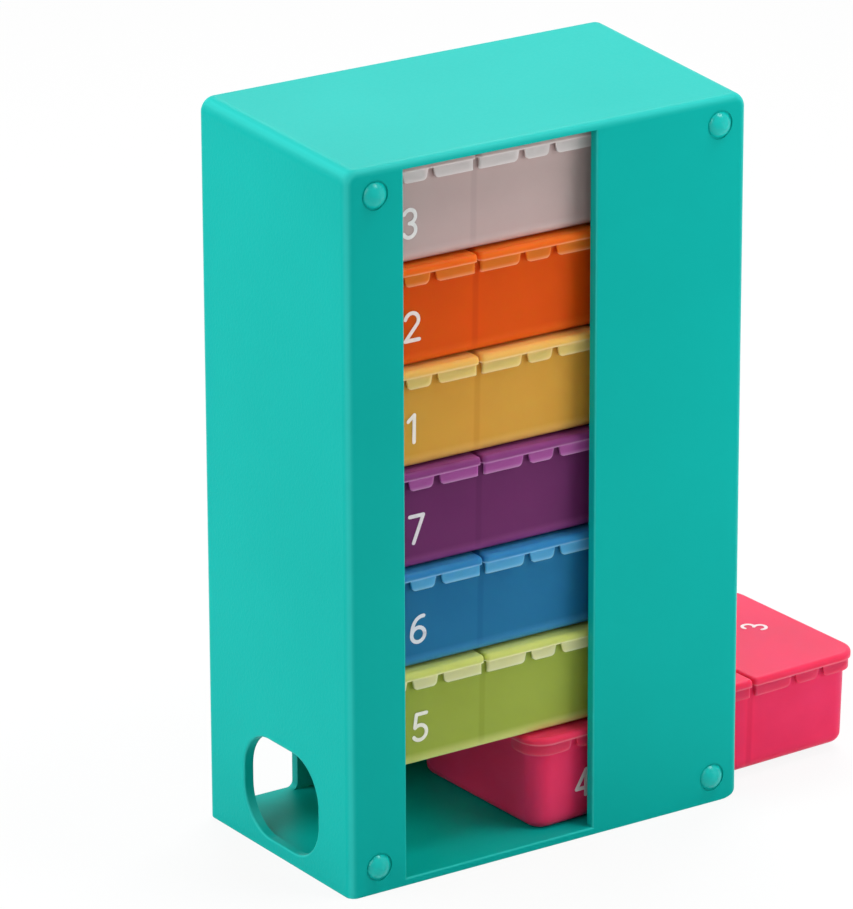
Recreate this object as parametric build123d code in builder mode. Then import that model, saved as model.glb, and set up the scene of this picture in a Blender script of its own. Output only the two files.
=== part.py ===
import os
from math import cos, radians, sin

from build123d import *

os.makedirs("parts", exist_ok=True)

# Case, outside
front_w = 111.8
side_draft = 1.3
case_d = 61.6
front_h = 178.6
top_rise = 3.0
top_corner_r = 3.6
foot_corner_r = 6.0
edge_r = 2.2
lip_r = 0.6
back_w = front_w + 2 * side_draft
back_h = front_h + top_rise
front_y = -case_d / 2
back_y = case_d / 2

# Case, walls
wall = 2.4
side_wall = 1.7
floor_t = 1.8
top_t = 1.8
stack_h = front_h - floor_t - top_t
ceiling_front = floor_t + stack_h
ceiling_back = ceiling_front + top_rise

# Window in the front wall
strip_w = 15.7
panel_w = 42.9
window_w = front_w - strip_w - panel_w

# Corner studs
stud_edge_x = 7.9
stud_edge_z = 6.6
stud_d = 6.3
stud_rise = 1.8
stud_well_d = 7.1
stud_well_t = 0.3
shank_d = 3.2
shank_fit = 0.02
stud_x = front_w / 2 - stud_edge_x

# Trays in their stack
days = 7
times = 3
head_room = 0.35
stack_gap = 0.25
depth_play = 2.4
front_bias = 0.8
left_play = 3.2
open_inset = 6.55
creep_top = 0.35
creep_step = 0.45
pitch = (stack_h - head_room) / days
tray_h = pitch - stack_gap
tray_y = -front_bias

# Push hole in the left wall, a little taller than a tray front
push_w = 0.515 * case_d
push_h = 1.025 * pitch
push_r = 0.42 * push_h
push_z = floor_t + 0.57 * pitch
push_y = -1.0

# Finger slot in the rear wall
slot_left = 5.2
slot_w = 17.4
slot_h = pitch - 1.35
slot_r = 1.6

# Lids
lid_t = 1.9
lid_gap = 0.45
lid_overhang = 1.6
outer_r = 6.2
inner_r = 1.2
lid_edge_r = 1.0
skirt_drop = 2.8
skirt_t = 0.65
skirt_inset = 0.55
latch_w = 7.0
notch_top = 1.6
notch_low = 2.7
notch_web = 0.25
skirt_wrap = 10.0
tab_r = 1.1
lid_l = front_w - side_wall - left_play - open_inset
lid_d = case_d - 2 * wall - 2 * depth_play
lid_pitch = (lid_l + lid_gap) / times
lid_w = lid_pitch - lid_gap
tray_x = -front_w / 2 + side_wall + left_play + lid_l / 2

# Pulled tray
pulled_day = 4
pulled_x = 47.6
pulled_y = tray_y + 0.65
pulled_yaw = 2.4

# Tray bodies
rim_gap = 0.05
rim_z = tray_h - lid_t - rim_gap
tray_draft = 1.5
rim_l = lid_l - 2 * lid_overhang
rim_d = lid_d - 2 * lid_overhang
taper_in = 0.0262 * rim_z
foot_l = rim_l - 2 * taper_in
foot_d = rim_d - 2 * taper_in
tray_r = 4.4
tray_foot_r = 2.6
tray_wall = 1.4
tray_floor = 1.4
cell_r = 2.4
cell_foot_r = 2.0

# Lid hinges
axis_drop = 1.75
axis_z = tray_h - lid_t - axis_drop
axis_y = rim_d / 2 - 0.1
barrel_r = 1.1
barrel_l = 0.6 * lid_w
pin_r = 0.6
pin_l = 2.2
pin_fit = 0.05
ear_r = 1.25
ear_w = 2.6
ear_side_gap = 0.3
barrel_gap = 0.35

# Latch ridges
ridge_w = 5.6
ridge_h = 0.8
ridge_out = 0.2
ridge_drop = 2.3


def level(seat, x, y, z):
    return Plane(seat.from_local_coords(Vector(x, y, z)), x_dir=seat.x_dir, z_dir=seat.z_dir)


def across(seat, x, y, z):
    return Plane(seat.from_local_coords(Vector(x, y, z)), x_dir=seat.y_dir, z_dir=seat.x_dir)


def facing(seat, x, y, z):
    return Plane(seat.from_local_coords(Vector(x, y, z)), x_dir=seat.x_dir, z_dir=seat.y_dir * -1)


ground = Plane.XY

# Case shell
with BuildPart() as case_shell:
    with BuildSketch(ground):
        with BuildLine():
            Polyline(
                (-front_w / 2, front_y),
                (front_w / 2, front_y),
                (back_w / 2, back_y),
                (-back_w / 2, back_y),
                close=True,
            )
        make_face()
    extrude(amount=back_h)
    # Sloping top
    with BuildSketch(across(ground, 0, 0, 0)):
        with BuildLine():
            Polyline(
                (front_y - 1, front_h - (back_h - front_h) / case_d),
                (back_y, back_h),
                (back_y, back_h + 10),
                (front_y - 1, back_h + 10),
                close=True,
            )
        make_face()
    extrude(amount=back_w, both=True, mode=Mode.SUBTRACT)
    # Rounded top corners
    top_face = case_shell.faces().sort_by(Axis.Z)[-1]
    fillet(top_face.edges().sort_by(Axis.X)[0], top_corner_r)
    top_face = case_shell.faces().sort_by(Axis.Z)[-1]
    fillet(top_face.edges().sort_by(Axis.X)[-1], top_corner_r)
    # Rounded front and rear edges, square along the front foot
    front_face = case_shell.faces().sort_by(Axis.Y)[0]
    fillet(front_face.edges().filter_by(lambda e: e.center().Z > 1), edge_r)
    rear_face = case_shell.faces().sort_by(Axis.Y)[-1]
    fillet(rear_face.edges(), edge_r)
    # Rounded foot at the open end
    with BuildSketch(facing(ground, 0, back_y + 1, 0)):
        with BuildLine():
            foot_arc = RadiusArc(
                (back_w / 2 - foot_corner_r, 0), (back_w / 2, foot_corner_r), -foot_corner_r
            )
            Polyline(foot_arc @ 1, (back_w / 2 + 3, foot_corner_r), (back_w / 2 + 3, -3))
            Polyline((back_w / 2 + 3, -3), (back_w / 2 - foot_corner_r, -3), foot_arc @ 0)
        make_face()
    extrude(amount=case_d + 2, mode=Mode.SUBTRACT)
    # Bay for the stack, open at the right
    with BuildSketch(across(ground, -front_w / 2 + side_wall, 0, 0)):
        with BuildLine():
            Polyline(
                (front_y + wall, floor_t),
                (back_y - wall, floor_t),
                (back_y - wall, ceiling_back),
                (front_y + wall, ceiling_front),
                close=True,
            )
        make_face()
    extrude(amount=back_w, mode=Mode.SUBTRACT)
    # Window
    window_x = -front_w / 2 + strip_w + window_w / 2
    with BuildSketch(facing(ground, window_x, front_y + wall + 0.5, floor_t + stack_h / 2)):
        Rectangle(window_w, stack_h)
    extrude(amount=wall + 2, mode=Mode.SUBTRACT)
    # Push hole
    with BuildSketch(across(ground, -back_w / 2 - 2, push_y, push_z)):
        RectangleRounded(push_w, push_h, push_r)
    extrude(amount=wall + 5, mode=Mode.SUBTRACT)
    # Softened lips of the window, the sill and the push hole
    window_edges = case_shell.edges().filter_by_position(Axis.Y, front_y - 0.01, front_y + 0.01)
    lips = window_edges.filter_by(Axis.Z).filter_by(
        lambda e: abs(abs(e.center().X - window_x) - window_w / 2) < 0.05
    )
    sill = window_edges.filter_by(Axis.X).filter_by(lambda e: abs(e.center().Z - floor_t) < 0.05)
    fillet(lips + sill, lip_r)
    left_face = case_shell.faces().sort_by(Axis.X)[0]
    fillet(left_face.inner_wires()[0].edges(), lip_r)
    # Finger slot
    slot_x = -front_w / 2 + slot_left + slot_w / 2
    with BuildSketch(facing(ground, slot_x, back_y + 2, floor_t + slot_h / 2)):
        RectangleRounded(slot_w, slot_h, slot_r)
    extrude(amount=wall + 3, mode=Mode.SUBTRACT)
    # Stud wells and shank holes
    for x in (-stud_x, stud_x):
        for z in (stud_edge_z, front_h - stud_edge_z):
            with BuildSketch(facing(ground, x, front_y + stud_well_t, z)):
                Circle(stud_well_d / 2)
            extrude(amount=2, mode=Mode.SUBTRACT)
            with BuildSketch(facing(ground, x, front_y + wall + 1, z)):
                Circle(shank_d / 2 + shank_fit)
            extrude(amount=wall + 2, mode=Mode.SUBTRACT)

# Corner studs
with BuildPart() as corner_studs:
    for x in (-stud_x, stud_x):
        for z in (stud_edge_z, front_h - stud_edge_z):
            well_y = front_y + stud_well_t
            rise = stud_rise + stud_well_t
            shank = wall - stud_well_t
            dome_r = (rise**2 + (stud_d / 2) ** 2) / (2 * rise)
            with BuildSketch(across(ground, x, well_y, z)):
                with BuildLine():
                    RadiusArc((-rise, 0), (0, stud_d / 2), dome_r)
                    Polyline(
                        (0, stud_d / 2),
                        (0, shank_d / 2),
                        (shank, shank_d / 2),
                        (shank, 0),
                        (-rise, 0),
                    )
                make_face()
            revolve(axis=Axis((x, well_y, z), (0, 1, 0)))


def make_tray(seat):
    with BuildPart() as tray:
        with BuildSketch(seat):
            RectangleRounded(foot_l, foot_d, tray_r)
        extrude(amount=rim_z, taper=-tray_draft)
        fillet(tray.faces().sort_by(Axis.Z)[0].edges(), tray_foot_r)
        # Compartments
        cell_taper = 0.0262 * (rim_z - tray_floor)
        cell_l = lid_pitch - tray_wall - 2 * cell_taper
        cell_d = rim_d - 2 * tray_wall - 2 * cell_taper
        for n in range(times):
            inward = (tray_wall + lid_overhang - lid_gap / 2 - tray_wall / 2) / 2
            shift = (1 - n) * inward
            length = cell_l - abs(shift) * 2
            with BuildSketch(level(seat, (n - 1) * lid_pitch + shift, 0, tray_floor)):
                RectangleRounded(length, cell_d, cell_r)
            extrude(amount=rim_z - tray_floor + 0.01, taper=-tray_draft, mode=Mode.SUBTRACT)
        low = seat.origin.Z + tray_floor
        cell_floors = tray.faces().filter_by_position(Axis.Z, low - 0.01, low + 0.01)
        fillet(cell_floors.edges(), cell_foot_r)
        for n in range(times):
            lid_x = (n - 1) * lid_pitch
            # Room for the lid's barrel
            with BuildSketch(across(seat, lid_x - barrel_l / 2 - ear_side_gap, 0, 0)):
                with BuildLine():
                    low_z = axis_z - barrel_r - barrel_gap
                    Polyline(
                        (axis_y - tray_wall - 1, low_z),
                        (axis_y + 2, low_z),
                        (axis_y + 2, rim_z + 1),
                        (axis_y - tray_wall - 1, rim_z + 1),
                        close=True,
                    )
                make_face()
            extrude(amount=barrel_l + 2 * ear_side_gap, mode=Mode.SUBTRACT)
            # Hinge ears
            for side in (-1, 1):
                ear_x = lid_x + side * (barrel_l / 2 + ear_side_gap + ear_w / 2)
                with BuildSketch(across(seat, ear_x - ear_w / 2, 0, 0)):
                    with BuildLine():
                        Polyline(
                            (axis_y - tray_wall + 0.2, axis_z - 4.2),
                            (axis_y - 0.1, axis_z - 4.2),
                            (axis_y + ear_r, axis_z),
                            (axis_y - ear_r, axis_z),
                            close=True,
                        )
                    make_face()
                    with Locations((axis_y, axis_z)):
                        Circle(ear_r)
                        Circle(pin_r + pin_fit, mode=Mode.SUBTRACT)
                extrude(amount=ear_w)
                with BuildSketch(across(seat, ear_x - ear_w / 2, axis_y, axis_z)):
                    Circle(pin_r + pin_fit)
                extrude(amount=ear_w, mode=Mode.SUBTRACT)
            # Latch ridge
            ridge_z = tray_h - lid_t - ridge_drop
            ridge_y = -rim_d / 2 + 0.0262 * (rim_z - ridge_z)
            with Locations(level(seat, lid_x, ridge_y + 0.5, ridge_z)):
                Box(ridge_w, 2 * ridge_out + 1.0, ridge_h)
    return tray.part


def make_lid(seat, n):
    lid_x = (n - 1) * lid_pitch
    under = tray_h - lid_t
    left_r = outer_r if n == 0 else inner_r
    right_r = outer_r if n == times - 1 else inner_r
    with BuildPart() as lid:
        with BuildSketch(level(seat, lid_x, 0, under)) as outline:
            Rectangle(lid_w, lid_d)
            fillet(outline.vertices().group_by(Axis.X)[0], left_r)
            fillet(outline.vertices().group_by(Axis.X)[-1], right_r)
        extrude(amount=lid_t)
        fillet(lid.faces().sort_by(Axis.Z)[-1].edges(), lid_edge_r)
        # Skirt along the front and round the outer corners
        half = lid_w / 2
        near = -lid_d / 2
        left_depth = skirt_wrap if n == 0 else skirt_inset + skirt_t
        right_depth = skirt_wrap if n == times - 1 else skirt_inset + skirt_t
        with BuildSketch(level(seat, lid_x, 0, under)) as skirt:
            with Locations((-half / 2, near + left_depth / 2)):
                Rectangle(half, left_depth)
            with Locations((half / 2, near + right_depth / 2)):
                Rectangle(half, right_depth)
            with BuildSketch(mode=Mode.INTERSECT) as ring:
                Rectangle(lid_w - 2 * skirt_inset, lid_d - 2 * skirt_inset)
                fillet(ring.vertices().group_by(Axis.X)[0], max(left_r - skirt_inset, 0.6))
                fillet(ring.vertices().group_by(Axis.X)[-1], max(right_r - skirt_inset, 0.6))
            bore_l = skirt_inset + skirt_t if n == 0 else -2
            bore_r = skirt_inset + skirt_t if n == times - 1 else -2
            with BuildSketch(mode=Mode.SUBTRACT) as inside:
                with Locations(((bore_l - bore_r) / 2, 0)):
                    Rectangle(lid_w - bore_l - bore_r, lid_d - 2 * (skirt_inset + skirt_t))
                if n == 0:
                    fillet(inside.vertices().group_by(Axis.X)[0], left_r - bore_l)
                if n == times - 1:
                    fillet(inside.vertices().group_by(Axis.X)[-1], right_r - bore_r)
        extrude(amount=-skirt_drop)
        # Two flared notches leave three tabs, the middle one springing as a latch
        with BuildSketch(facing(seat, lid_x, near + skirt_inset + skirt_t + 0.5, under)):
            for side in (-1, 1):
                mid = side * (latch_w + notch_top) / 2
                with BuildLine():
                    Polyline(
                        (mid - notch_top / 2, -notch_web),
                        (mid + notch_top / 2, -notch_web),
                        (mid + notch_low / 2, -skirt_drop - 0.1),
                        (mid - notch_low / 2, -skirt_drop - 0.1),
                        close=True,
                    )
                make_face()
        extrude(amount=skirt_t + 2, mode=Mode.SUBTRACT)
        low = seat.origin.Z + under - skirt_drop
        feet = lid.edges().filter_by_position(Axis.Z, low - 0.01, low + 0.01)
        feet = feet.filter_by(lambda e: e.geom_type == GeomType.LINE and e.length < skirt_t + 0.05)
        fillet(feet, tab_r)
        # Hinge barrel, its neck and its two pins
        with BuildSketch(across(seat, lid_x - barrel_l / 2, axis_y, axis_z)):
            Circle(barrel_r)
            with Locations((0, (axis_drop + 0.1) / 2)):
                Rectangle(2 * barrel_r - 0.3, axis_drop + 0.1)
        extrude(amount=barrel_l)
        pins = barrel_l + 2 * pin_l
        with BuildSketch(across(seat, lid_x - pins / 2, axis_y, axis_z)):
            Circle(pin_r)
        extrude(amount=pins)
    return lid.part


# Stack from the bottom: the day being used is pulled, later days wait above it
case_shell.part.label = "case_shell"
export_step(case_shell.part, "parts/case_shell.step")
corner_studs.part.label = "corner_studs"
export_step(corner_studs.part, "parts/corner_studs.step")

time_names = ("morning", "noon", "evening")
for place in range(days):
    day = (pulled_day - 1 + place) % days + 1
    height = floor_t + place * pitch
    creep = creep_top + creep_step * (days - 1 - place)
    seat = Plane((tray_x + creep, tray_y, height))
    if place == 0:
        turn = radians(pulled_yaw)
        seat = Plane(
            (tray_x + pulled_x, pulled_y, height), x_dir=(cos(turn), sin(turn), 0), z_dir=(0, 0, 1)
        )
    tray = make_tray(seat)
    tray.label = f"day_{day}_tray"
    export_step(tray, f"parts/day_{day}_tray.step")
    for n in range(times):
        lid = make_lid(seat, n)
        lid.label = f"day_{day}_lid_{time_names[n]}"
        export_step(lid, f"parts/day_{day}_lid_{time_names[n]}.step")
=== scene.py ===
import math

import bpy
from mathutils import Matrix, Vector


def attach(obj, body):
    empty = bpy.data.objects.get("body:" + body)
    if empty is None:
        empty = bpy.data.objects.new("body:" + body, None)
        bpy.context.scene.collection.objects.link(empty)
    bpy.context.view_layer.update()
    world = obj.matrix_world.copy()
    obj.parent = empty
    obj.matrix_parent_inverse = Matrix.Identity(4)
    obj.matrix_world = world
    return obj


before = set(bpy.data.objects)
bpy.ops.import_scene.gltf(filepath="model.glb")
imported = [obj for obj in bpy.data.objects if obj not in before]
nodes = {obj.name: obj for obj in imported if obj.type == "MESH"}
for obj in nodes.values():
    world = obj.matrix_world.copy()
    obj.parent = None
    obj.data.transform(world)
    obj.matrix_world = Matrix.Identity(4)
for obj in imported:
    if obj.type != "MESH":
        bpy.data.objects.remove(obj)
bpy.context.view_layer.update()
print("frame loaded:", len(nodes), "CAD nodes")


# node tree shorthand used by every material below
def newMaterial(name):
    mat = bpy.data.materials.new(name)
    mat.use_nodes = True
    tree = mat.node_tree
    tree.nodes.clear()
    out = tree.nodes.new("ShaderNodeOutputMaterial")
    out.location = (900, 0)
    shader = tree.nodes.new("ShaderNodeBsdfPrincipled")
    shader.location = (600, 0)
    tree.links.new(shader.outputs["BSDF"], out.inputs["Surface"])
    return mat, tree, shader


def put(tree, kind, x, y, **settings):
    node = tree.nodes.new(kind)
    node.location = (x, y)
    for key, value in settings.items():
        setattr(node, key, value)
    return node


def noiseAt(tree, vector, scale, detail, x, y, rough=0.5):
    node = put(tree, "ShaderNodeTexNoise", x, y)
    node.inputs["Scale"].default_value = scale
    node.inputs["Detail"].default_value = detail
    node.inputs["Roughness"].default_value = rough
    tree.links.new(vector, node.inputs["Vector"])
    return node.outputs["Fac"]


def spread(tree, value, low, high, x, y, fromLow=0.3, fromHigh=0.7):  # stretches a value into a range
    node = put(tree, "ShaderNodeMapRange", x, y)
    node.inputs["From Min"].default_value = fromLow
    node.inputs["From Max"].default_value = fromHigh
    node.inputs["To Min"].default_value = low
    node.inputs["To Max"].default_value = high
    tree.links.new(value, node.inputs["Value"])
    return node.outputs["Result"]


def sums(tree, operation, a, b, x, y):
    node = put(tree, "ShaderNodeMath", x, y, operation=operation)
    for socket, value in zip(node.inputs, (a, b)):
        if isinstance(value, (int, float)):
            socket.default_value = value
        elif value is not None:
            tree.links.new(value, socket)
    return node.outputs["Value"]


def blendTone(tree, fac, a, b, x, y):
    node = put(tree, "ShaderNodeMix", x, y, data_type="RGBA")
    for socket, value in ((node.inputs[0], fac), (node.inputs[6], a), (node.inputs[7], b)):
        if isinstance(value, tuple):
            socket.default_value = (*value, 1.0)
        elif isinstance(value, float):
            socket.default_value = value
        else:
            tree.links.new(value, socket)
    return node.outputs[2]


def paint(node, mat):
    node.data.materials.clear()
    node.data.materials.append(mat)


# turquoise case: smooth front and top, finely grained left and right sides, painted highlight on rounded
# edges
caseLook = {
    "mainTone": (0.0010, 0.425, 0.380),
    "deepTone": (0.0008, 0.398, 0.355),
    "roughness": (0.34, 0.44),
    "specular": 0.05,
    "grainScale": 1350.0,
    "grainDepth": 0.00010,
    "grainStrength": 0.60,
    "hairScale": 2600.0,
    "hairShare": 0.12,
    "flowScale": 16.0,
    "edgeHighlightTone": (0.045, 0.610, 0.560),  # painted highlight, paler where an edge is rounded
    "edgeHighlightShare": 0.55,
    "edgeHighlightBand": (0.80, 0.995),  # largest part of the normal, from rounded to flat
    "ior": 1.5,
}


def caseMoulding(name, look):
    mat, tree, shader = newMaterial(name)
    where = put(tree, "ShaderNodeTexCoord", -1100, 0)
    place = where.outputs["Object"]
    facing = put(tree, "ShaderNodeSeparateXYZ", -900, -600)
    tree.links.new(where.outputs["Normal"], facing.inputs["Vector"])
    flow = noiseAt(tree, place, look["flowScale"], 3.0, -700, 200)
    grain = noiseAt(tree, place, look["grainScale"], 2.0, -700, -200, 0.6)
    hair = noiseAt(tree, place, look["hairScale"], 1.0, -700, -400)
    depth = spread(tree, flow, 0.0, 1.0, -450, 200)
    tone = blendTone(tree, depth, look["mainTone"], look["deepTone"], -200, 200)
    widest = 0.0
    for k, axis in enumerate("XYZ"):
        row = -800 - 150 * k
        part = sums(tree, "ABSOLUTE", facing.outputs[axis], None, -700, row)
        widest = sums(tree, "MAXIMUM", part, widest, -500, row)
    # paler tone on rounded edges: a painted highlight
    edgeHighlight = spread(tree, widest, look["edgeHighlightShare"], 0.0, -300, -800, *look["edgeHighlightBand"])
    tone = blendTone(tree, edgeHighlight, tone, look["edgeHighlightTone"], 0, 200)
    tree.links.new(tone, shader.inputs["Base Color"])
    halfFlow = sums(tree, "MULTIPLY", flow, 0.5, -450, -50)
    halfGrain = sums(tree, "MULTIPLY", grain, 0.5, -450, -200)
    mix = sums(tree, "ADD", halfFlow, halfGrain, -250, -100)
    tree.links.new(spread(tree, mix, *look["roughness"], -50, -100, 0.35, 0.65), shader.inputs["Roughness"])
    sideways = sums(tree, "ABSOLUTE", facing.outputs["X"], None, -700, -600)
    sideGrain = spread(tree, sideways, 0.15, 1.0, -500, -600, 0.6, 0.95)
    coarse = sums(tree, "MULTIPLY", grain, sideGrain, -300, -500)
    fine = sums(tree, "MULTIPLY", hair, look["hairShare"], -450, -400)
    height = sums(tree, "ADD", coarse, fine, -150, -400)
    bump = put(tree, "ShaderNodeBump", 200, -350)
    bump.inputs["Strength"].default_value = look["grainStrength"]
    bump.inputs["Distance"].default_value = look["grainDepth"]
    tree.links.new(height, bump.inputs["Height"])
    tree.links.new(bump.outputs["Normal"], shader.inputs["Normal"])
    shader.inputs["Specular IOR Level"].default_value = look["specular"]
    shader.inputs["IOR"].default_value = look["ior"]
    return mat


casePlastic = caseMoulding("turquoise moulding", caseLook)
# studs: the case plastic in a lighter tone, painted light on the domes, with more gloss and no painted edge
# highlight
studLook = {
    **caseLook,
    "mainTone": (0.0015, 0.52, 0.465),
    "deepTone": (0.0012, 0.49, 0.440),
    "roughness": (0.20, 0.26),
    "specular": 0.24,
    "grainDepth": 0.00002,
    "edgeHighlightShare": 0.0,
}
studPlastic = caseMoulding("turquoise stud", studLook)
paint(nodes["case_shell"], casePlastic)
paint(nodes["corner_studs"], studPlastic)
print("case painted")


# where each tray stands, in metres
stack = {
    "floor": 0.0018,
    "pitch": 0.02495,
    "x": -0.000825,
    "y": -0.0008,
    "creepTop": 0.00035,
    "creepStep": 0.00045,
    "pulledX": 0.046775,
    "pulledY": -0.00015,
    "pulledTurn": math.radians(2.4),
    "order": (4, 5, 6, 7, 1, 2, 3),  # days from the bottom up
    "times": ("morning", "noon", "evening"),
    "lidPitch": 0.0336,
    "height": 0.0247,
    "tabFoot": 0.0200,
}


def seatOf(day):
    place = stack["order"].index(day)
    if place == 0:
        return Vector((stack["pulledX"], stack["pulledY"], stack["floor"])), stack["pulledTurn"]
    creep = stack["creepTop"] + stack["creepStep"] * (6 - place)
    return Vector((stack["x"] + creep, stack["y"], stack["floor"] + place * stack["pitch"])), 0.0


# milky tray plastic: light wanders inside it; tab feet and tray feet are painted paler as a painted glow,
# dividers and lid plates get painted shade, and each plate's foot a painted highlight line
trayLook = {
    "milk": 0.85,
    "wander": 0.0040,
    "roughness": (0.30, 0.42),
    "specular": 0.10,
    "cloudScale": 55.0,
    "grainScale": 2200.0,
    "grainDepth": 0.00003,
    "grainStrength": 0.25,
    "ior": 1.46,
    "dividerHalf": 0.0008,
    "dividerShadeShare": 0.42,
    "footGlowShare": 0.5,
    "footGlowBand": (0.0008, 0.0036),
    "tabGlowBand": 0.0009,
    "rim": {1: 0.40, 2: 0.40, 3: 0.40, 4: 0.12, 5: 0.40, 6: 0.40, 7: 0.40},  # painted glow: how pale the tab feet are
    "plateFoot": 0.0228,
    "plateHighlightShare": 0.30,
    # painted shade on the plate: how far it leans to the wall's tone
    "plateShade": {1: 0.45, 2: 0.30, 3: 1.0, 4: 0.0, 5: 0.65, 6: 0.75, 7: 0.60},
    "plateShadeLevel": {3: 0.76},  # white plates painted darker still, as painted shade, so they don't wash out in the light from above
    "tones": {  # wall, darker wall for clouding and for painted shade at the dividers, lid
        1: ((0.70, 0.365, 0.058), (0.52, 0.245, 0.028), (1.00, 0.575, 0.195)),
        2: ((0.79, 0.096, 0.004), (0.55, 0.048, 0.003), (1.00, 0.200, 0.022)),
        3: ((0.56, 0.43, 0.415), (0.43, 0.33, 0.32), (0.72, 0.64, 0.63)),
        4: ((1.00, 0.042, 0.145), (0.68, 0.014, 0.066), (0.75, 0.043, 0.108)),
        5: ((0.36, 0.45, 0.075), (0.25, 0.31, 0.040), (1.00, 0.97, 0.400)),
        6: ((0.017, 0.180, 0.365), (0.008, 0.115, 0.255), (0.105, 0.41, 0.80)),
        7: ((0.165, 0.030, 0.135), (0.100, 0.016, 0.084), (0.41, 0.105, 0.355)),
    },
}


def trayPlastic(day, forLid):
    look = trayLook
    wall, thick, lid = look["tones"][day]
    seat, turn = seatOf(day)
    mat, tree, shader = newMaterial(f"milky plastic {'lid' if forLid else 'tray'} {day}")
    place = put(tree, "ShaderNodeTexCoord", -1500, 0).outputs["Object"]
    # measured from the tray's own seat
    local = put(tree, "ShaderNodeMapping", -1300, 0, vector_type="TEXTURE")
    local.inputs["Location"].default_value = seat
    local.inputs["Rotation"].default_value = (0.0, 0.0, turn)
    tree.links.new(place, local.inputs["Vector"])
    here = local.outputs["Vector"]
    axes = put(tree, "ShaderNodeSeparateXYZ", -1100, 0)
    tree.links.new(here, axes.inputs["Vector"])
    cloud = noiseAt(tree, here, look["cloudScale"], 3.0, -1100, 300)
    grain = noiseAt(tree, here, look["grainScale"], 2.0, -1100, -300)
    if forLid:
        share = look["plateShade"][day]
        level = look["plateShadeLevel"].get(day, 1.0)
        # plate tone pulled toward the wall tone and darkened: painted shade
        plateShade = tuple(level * ((1 - share) * a + share * b) for a, b in zip(lid, wall))
        up, plateFoot, tabFoot = axes.outputs["Z"], look["plateFoot"], stack["tabFoot"]
        plateShadeMask = spread(tree, up, 0.0, 1.0, -800, 500, plateFoot, plateFoot + 0.0003)
        body = blendTone(tree, plateShadeMask, lid, plateShade, -650, 400)
        body = blendTone(tree, spread(tree, cloud, 0.0, 0.25, -800, 300), body, wall, -500, 300)
        # paler tone for the painted glow at the tab feet and the painted highlight at the plate's foot
        paintedLightTone = tuple(min(1.0, 0.75 * v + 0.25) for v in lid)
        # tab feet painted paler: a painted glow
        rim = spread(tree, up, look["rim"][day], 0.0, -450, -100, tabFoot, tabFoot + look["tabGlowBand"])
        above = sums(tree, "SUBTRACT", up, plateFoot + 0.0001, -750, -100)
        above = sums(tree, "ABSOLUTE", above, None, -600, -100)
        # painted highlight: a pale line at the plate's foot
        plateHighlight = spread(tree, above, look["plateHighlightShare"], 0.0, -450, -350, 0.0001, 0.0004)
        tone = blendTone(tree, sums(tree, "MAXIMUM", rim, plateHighlight, -250, -100), body, paintedLightTone, -100, 200)
    else:
        side = sums(tree, "ABSOLUTE", axes.outputs["X"], None, -900, 100)
        half = look["dividerHalf"]
        offset = sums(tree, "SUBTRACT", side, stack["lidPitch"] / 2, -750, 100)
        offset = sums(tree, "ABSOLUTE", offset, None, -600, 100)
        # darker band where each divider stands behind the wall: painted shade
        dividerShade = spread(tree, offset, look["dividerShadeShare"], 0.0, -450, 100, half * 0.6, half * 1.4)
        # tray feet painted toward the lid tone: a painted glow
        footGlow = spread(tree, axes.outputs["Z"], look["footGlowShare"], 0.0, -450, -100, *look["footGlowBand"])
        body = blendTone(tree, spread(tree, cloud, 0.0, 0.30, -800, 300), wall, thick, -500, 300)
        body = blendTone(tree, dividerShade, body, thick, -300, 250)
        tone = blendTone(tree, footGlow, body, lid, -100, 200)
    tree.links.new(tone, shader.inputs["Base Color"])
    tree.links.new(spread(tree, cloud, *look["roughness"], -500, -250), shader.inputs["Roughness"])
    bump = put(tree, "ShaderNodeBump", 200, -350)
    bump.inputs["Strength"].default_value = look["grainStrength"]
    bump.inputs["Distance"].default_value = look["grainDepth"]
    tree.links.new(grain, bump.inputs["Height"])
    tree.links.new(bump.outputs["Normal"], shader.inputs["Normal"])
    shader.inputs["Subsurface Weight"].default_value = look["milk"]
    shader.inputs["Subsurface Radius"].default_value = tuple(0.25 + 0.75 * v for v in lid)
    shader.inputs["Subsurface Scale"].default_value = look["wander"]
    shader.inputs["Specular IOR Level"].default_value = look["specular"]
    shader.inputs["IOR"].default_value = look["ior"]
    return mat


for day in range(1, 8):
    paint(nodes[f"day_{day}_tray"], trayPlastic(day, False))
    lidPlastic = trayPlastic(day, True)
    for time in stack["times"]:
        paint(nodes[f"day_{day}_lid_{time}"], lidPlastic)
print("trays painted")


# white print: plain numerals, drawn as strokes
printLook = {
    "tone": (0.90, 0.90, 0.89),
    "thin": 0.20,
    "blotScale": 900.0,
    "roughness": (0.5, 0.7),
    "capHeight": 0.0076,
    "stroke": 0.125,  # share of the cap height
    "thickness": 0.00005,
    "startX": -0.0366,
    "baseZ": 0.0060,
    "faceY": -0.023804,  # tray front at its foot
    "draft": math.radians(1.5),
    "lidCap": 0.0068,
    "lidTurn": math.radians(45),
    "lidX": 0.0055,
    "lidY": -0.0028,
}


def whiteInk(day):
    look = printLook
    mat, tree, shader = newMaterial(f"white print ink {day}")
    place = put(tree, "ShaderNodeTexCoord", -900, 0).outputs["Object"]
    blot = noiseAt(tree, place, look["blotScale"], 3.0, -700, 100)
    under = trayLook["tones"][day][2]  # thin ink lets a little of the plastic through
    tone = tuple((1 - look["thin"]) * a + look["thin"] * b for a, b in zip(look["tone"], under))
    low = tuple(0.9 * v for v in tone)
    patches = spread(tree, blot, 0.0, 1.0, -450, 100)
    tree.links.new(blendTone(tree, patches, tone, low, -200, 100), shader.inputs["Base Color"])
    tree.links.new(spread(tree, blot, *look["roughness"], -450, -150), shader.inputs["Roughness"])
    return mat


inks = {day: whiteInk(day) for day in range(1, 8)}


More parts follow.
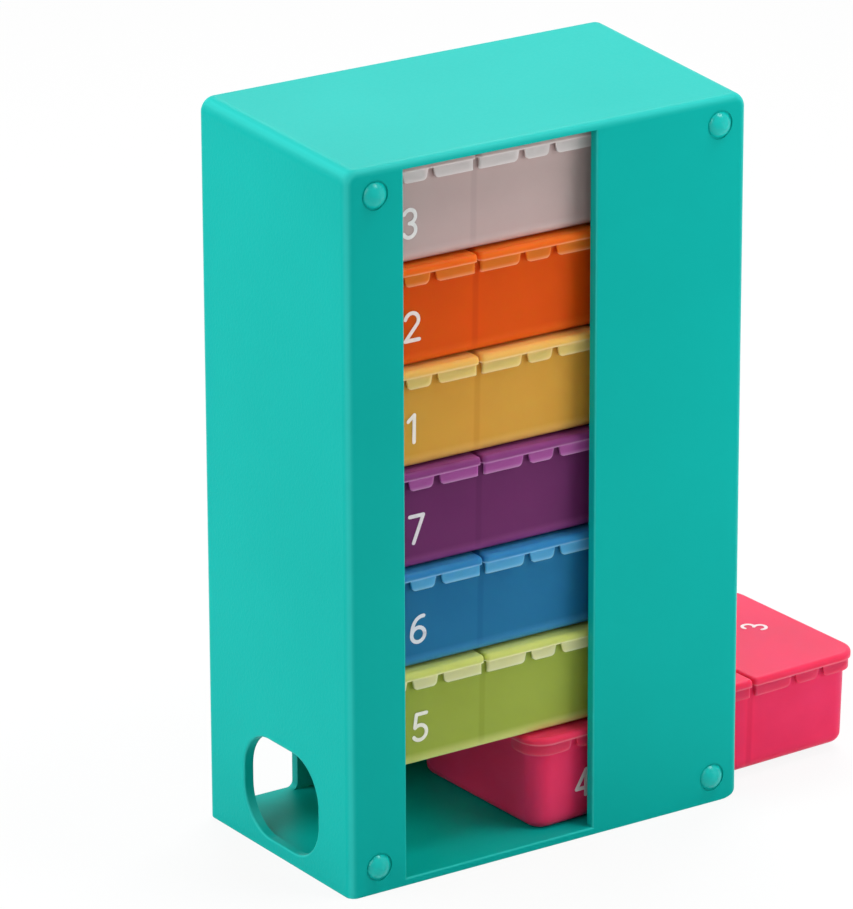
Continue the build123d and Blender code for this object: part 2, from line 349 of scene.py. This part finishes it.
def bow(x, y, r, start, stop, steps=20):  # arc in degrees, either way round
    turns = [math.radians(start + (stop - start) * k / steps) for k in range(steps + 1)]
    return [(x + r * math.cos(a), y + r * math.sin(a)) for a in turns]


def spine(a, b, c, d, steps=16):  # cubic sweep
    points = []
    for k in range(steps + 1):
        t = k / steps
        u = 1 - t
        weights = (u**3, 3 * u * u * t, 3 * u * t * t, t**3)
        points.append(tuple(sum(w * v for w, v in zip(weights, ends)) for ends in zip(a, b, c, d)))
    return points


digitStrokes = {  # cap height 1
    1: [[(0.09, 0.76), (0.31, 0.94)], [(0.31, 0.94), (0.31, 0.06)]],
    2: [bow(0.30, 0.70, 0.24, 165, -38) + [(0.07, 0.06)], [(0.07, 0.06), (0.57, 0.06)]],
    3: [bow(0.29, 0.725, 0.215, 155, -90), bow(0.29, 0.285, 0.225, 90, -155)],
    4: [[(0.44, 0.06), (0.44, 0.94)], [(0.44, 0.94), (0.07, 0.31)], [(0.07, 0.31), (0.60, 0.31)]],
    5: [[(0.53, 0.94), (0.16, 0.94)], [(0.16, 0.94), (0.11, 0.51)], bow(0.29, 0.315, 0.25, 133, -148)],
    6: [bow(0.31, 0.30, 0.24, 0, 360, 32), spine((0.50, 0.90), (0.22, 0.92), (0.07, 0.66), (0.07, 0.30))],
    7: [[(0.07, 0.94), (0.56, 0.94)], [(0.56, 0.94), (0.22, 0.06)]],
}


def roundEnd(point, rim, half):  # half turn from one edge of a ribbon to the other
    x, y = point
    aim = math.atan2(rim[1] - y, rim[0] - x)
    turns = [aim - math.pi * k / 8 for k in range(1, 8)]
    return [(x + half * math.cos(a), y + half * math.sin(a)) for a in turns]


def inkStroke(points, half, thick, verts, faces):  # flat ribbon with round ends
    count = len(points)
    left, right = [], []
    for k, (x, y) in enumerate(points):
        ax, ay = points[max(k - 1, 0)]
        bx, by = points[min(k + 1, count - 1)]
        length = math.hypot(bx - ax, by - ay)
        nx, ny = -(by - ay) / length, (bx - ax) / length
        left.append((x + half * nx, y + half * ny))
        right.append((x - half * nx, y - half * ny))
    capEnd = roundEnd(points[-1], left[-1], half)
    capStart = roundEnd(points[0], right[0], half)
    loop = left + capEnd + right[::-1] + capStart
    base, total = len(verts), len(loop)
    for z in (thick, -thick):
        verts.extend((x, y, z) for x, y in loop)
    tops = [(k + 1, k, 2 * count + 6 - k, 2 * count + 5 - k) for k in range(count - 1)]
    tops.append(tuple(range(count + 7, count - 2, -1)))
    tops.append((0,) + tuple(range(total - 1, 2 * count + 5, -1)))
    for ring in tops:
        faces.append(tuple(base + k for k in ring[::-1]))
        faces.append(tuple(base + total + k for k in ring))
    for k in range(total):
        nxt = (k + 1) % total
        faces.append((base + k, base + nxt, base + total + nxt, base + total + k))


def numeral(name, digit, cap, matrix, ink, body):
    verts, faces = [], []
    for k, points in enumerate(digitStrokes[digit]):
        thick = printLook["thickness"] * (1 + 0.25 * k)  # strokes that cross lie a hair apart
        half = printLook["stroke"] * cap / 2
        inkStroke([(x * cap, y * cap) for x, y in points], half, thick, verts, faces)
    mesh = bpy.data.meshes.new(name)
    mesh.from_pydata(verts, [], faces)
    mesh.transform(matrix)
    mesh.validate()
    mesh.materials.append(ink)
    made = bpy.data.objects.new(name, mesh)
    bpy.context.scene.collection.objects.link(made)
    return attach(made, body)


def bodyOf(day, lid=None):
    if day == 4 and lid == 2:
        return "day_4_evening_flap"
    return f"day_{day}_drawer"


upright = Matrix.Rotation(math.radians(90), 4, "X")
lean = Matrix.Rotation(printLook["draft"], 4, "X")
for day in range(1, 8):
    seat, turn = seatOf(day)
    toRow = Matrix.Translation(seat) @ Matrix.Rotation(turn, 4, "Z")
    corner = Matrix.Translation((printLook["startX"], printLook["faceY"], 0.0))
    front = corner @ lean @ Matrix.Translation((0, 0, printLook["baseZ"])) @ upright
    numeral(f"numeral_day_{day}", day, printLook["capHeight"], toRow @ front, inks[day], bodyOf(day))
    for n in range(3):
        x = (n - 1) * stack["lidPitch"] + printLook["lidX"]
        spot = Matrix.Translation((x, printLook["lidY"], stack["height"]))
        flat = spot @ Matrix.Rotation(printLook["lidTurn"], 4, "Z")
        name = f"numeral_day_{day}_lid_{n + 1}"
        numeral(name, n + 1, printLook["lidCap"], toRow @ flat, inks[day], bodyOf(day, n))
print("numerals printed")


# pale floor and white surroundings
stageLook = {
    "floorSize": 8.0,
    "floorTone": (0.80, 0.80, 0.80),
    "floorDrop": 0.00005,
    "cloudScale": 3.0,
    "lift": 0.90,  # share of plain white that sight rays get
    "worldTone": (1.0, 1.0, 1.0),
    "worldLevel": 0.10,
}


def seenDirectly(tree):  # sight rays, also by way of a gloss or through clear plastic
    ray = put(tree, "ShaderNodeLightPath", -600, -500)
    bent = sums(tree, "MAXIMUM", ray.outputs["Is Glossy Ray"], ray.outputs["Is Transmission Ray"], -400, -600)
    return sums(tree, "MAXIMUM", ray.outputs["Is Camera Ray"], bent, -200, -500)


def paleFloor():
    size = stageLook["floorSize"] / 2
    mesh = bpy.data.meshes.new("floor")
    corners = [(-size, -size, 0), (size, -size, 0), (size, size, 0), (-size, size, 0)]
    mesh.from_pydata(corners, [], [(0, 1, 2, 3)])
    floor = bpy.data.objects.new("floor", mesh)
    floor.location.z = -stageLook["floorDrop"]
    bpy.context.scene.collection.objects.link(floor)
    mat, tree, shader = newMaterial("pale floor")
    out = tree.nodes["Material Output"]
    place = put(tree, "ShaderNodeTexCoord", -900, 0).outputs["Object"]
    cloud = noiseAt(tree, place, stageLook["cloudScale"], 2.0, -700, 0)
    low = tuple(0.985 * v for v in stageLook["floorTone"])
    tree.links.new(blendTone(tree, cloud, stageLook["floorTone"], low, -400, 0), shader.inputs["Base Color"])
    shader.inputs["Roughness"].default_value = 0.9
    shader.inputs["Specular IOR Level"].default_value = 0.0
    glow = put(tree, "ShaderNodeEmission", 300, -300)
    glow.inputs["Strength"].default_value = 1.0
    share = sums(tree, "MULTIPLY", seenDirectly(tree), stageLook["lift"], 150, -500)
    mix = put(tree, "ShaderNodeMixShader", 750, -150)
    tree.links.new(share, mix.inputs[0])
    tree.links.new(shader.outputs["BSDF"], mix.inputs[1])
    tree.links.new(glow.outputs["Emission"], mix.inputs[2])
    tree.links.new(mix.outputs["Shader"], out.inputs["Surface"])
    mesh.materials.append(mat)


def worldLight():
    world = bpy.data.worlds.new("studio")
    bpy.context.scene.world = world
    world.use_nodes = True
    tree = world.node_tree
    tree.nodes.clear()
    out = put(tree, "ShaderNodeOutputWorld", 600, 0)
    lit = put(tree, "ShaderNodeBackground", 200, 100)
    lit.inputs["Color"].default_value = (*stageLook["worldTone"], 1.0)
    lit.inputs["Strength"].default_value = stageLook["worldLevel"]
    white = put(tree, "ShaderNodeBackground", 200, -100)
    white.inputs["Strength"].default_value = 1.0
    white.inputs["Color"].default_value = (1.0, 1.0, 1.0, 1.0)
    mix = put(tree, "ShaderNodeMixShader", 420, 0)
    tree.links.new(seenDirectly(tree), mix.inputs[0])
    tree.links.new(lit.outputs["Background"], mix.inputs[1])
    tree.links.new(white.outputs["Background"], mix.inputs[2])
    tree.links.new(mix.outputs["Shader"], out.inputs["Surface"])


# soft boxes: left side and high behind, with small fills overhead and in front
lampLook = {
    "leftBox": {
        "at": (-0.92, 0.22, 0.62), "aim": (0, 0, 0.09),
        "size": (1.2, 1.1), "power": 12.7, "mirrored": True,
    },
    "topBox": {
        "at": (0.40, 0.50, 0.90), "aim": (0, 0, 0.12),
        "size": (0.66, 0.5), "power": 8.4, "mirrored": True,
    },
    "overFill": {
        "at": (0.22, -0.20, 0.74), "aim": (0, 0, 0.12),
        "size": (0.24, 0.24), "power": 1.9, "mirrored": True,
    },
    "rightFill": {
        "at": (0.20, -0.28, 0.19), "aim": (0.02, 0, 0.09),
        "size": (0.22, 0.28), "power": 0.53, "mirrored": False,
    },
    "frontFill": {
        "at": (-0.34, -0.68, 0.55), "aim": (0, 0, 0.09),
        "size": (0.5, 0.4), "power": 0.45, "mirrored": False,
    },
}


def softLamp(name, look):
    lamp = bpy.data.lights.new(name, "AREA")
    lamp.shape = "RECTANGLE"
    lamp.size, lamp.size_y = look["size"]
    lamp.energy = look["power"]
    piece = bpy.data.objects.new(name, lamp)
    piece.location = look["at"]
    sight = Vector(look["aim"]) - Vector(look["at"])
    piece.rotation_euler = sight.to_track_quat("-Z", "Y").to_euler()
    piece.visible_camera = False
    piece.visible_glossy = look["mirrored"]
    bpy.context.scene.collection.objects.link(piece)


# camera fitted to the photo's outline
cameraLook = {
    "azimuth": math.radians(33.335),  # left of the front
    "elevation": math.radians(20.275),
    "distance": 1.49945,
    "target": (-0.009735, 0.006589, 0.090420),
    "roll": math.radians(-0.207),
    "lens": 249.77,
    "sensor": 36.0,
}


def photoCamera():
    look = cameraLook
    az, el = look["azimuth"], look["elevation"]
    back = Vector((-math.sin(az) * math.cos(el), -math.cos(az) * math.cos(el), math.sin(el)))
    data = bpy.data.cameras.new("camera")
    data.sensor_width = look["sensor"]
    data.lens = look["lens"]
    data.clip_start, data.clip_end = 0.05, 50.0
    camera = bpy.data.objects.new("camera", data)
    turn = (-back).to_track_quat("-Z", "Y").to_matrix().to_4x4()
    stand = Matrix.Translation(Vector(look["target"]) + back * look["distance"])
    camera.matrix_world = stand @ turn @ Matrix.Rotation(look["roll"], 4, "Z")
    bpy.context.scene.collection.objects.link(camera)
    bpy.context.scene.camera = camera


paleFloor()
worldLight()
for lampName, look in lampLook.items():
    softLamp(lampName, look)
photoCamera()
bpy.context.scene.view_settings.view_transform = "Standard"
print("stage set")
